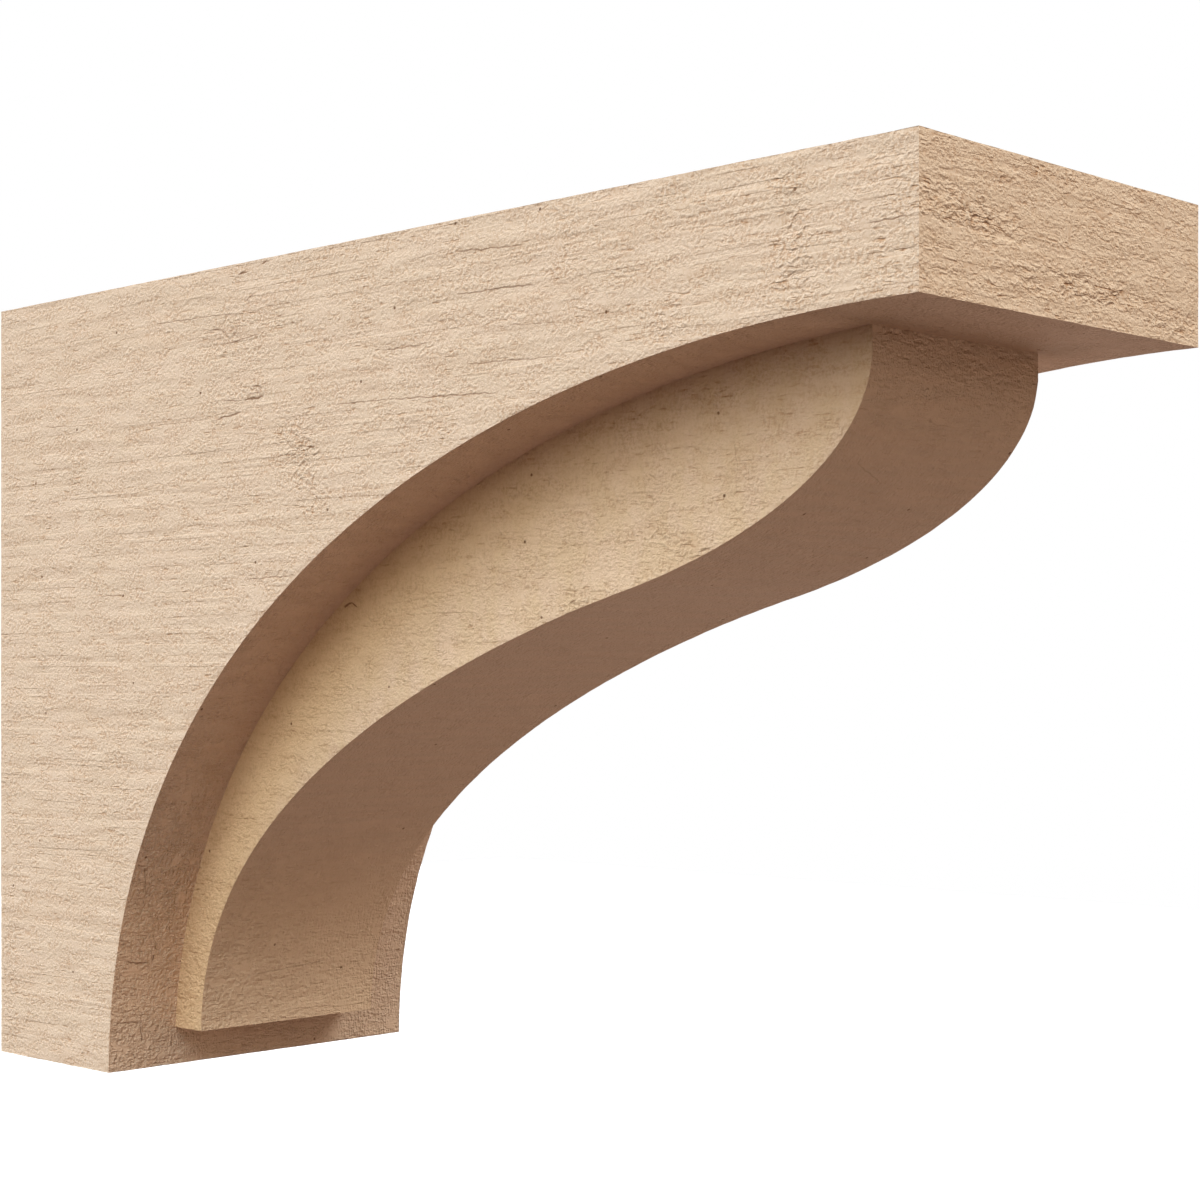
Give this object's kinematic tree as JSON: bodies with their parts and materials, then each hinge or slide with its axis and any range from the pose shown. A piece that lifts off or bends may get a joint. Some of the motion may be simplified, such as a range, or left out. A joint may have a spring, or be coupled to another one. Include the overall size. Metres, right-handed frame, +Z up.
{
  "type": "polyurethane corbel",
  "caption": "Wall corbel with a rough-sawn timber look: a leg against the wall, a thick arm over a concave cut, and a narrower ogee bracket along the middle of the cut.",
  "frame": {"origin": "centre of the flat face that meets the wall", "axes": "+Z up, +Y into the wall, so the corbel reaches out towards -Y; X runs across its width"},
  "size_m": [0.1524, 0.4572, 0.3048],
  "materials": {
    "stained_foam": "matt tan stain over rough-sawn timber grain moulded into rigid foam"
  },
  "bodies": {
    "root": {"corbel": "stained_foam"}
  },
  "joints": []
}
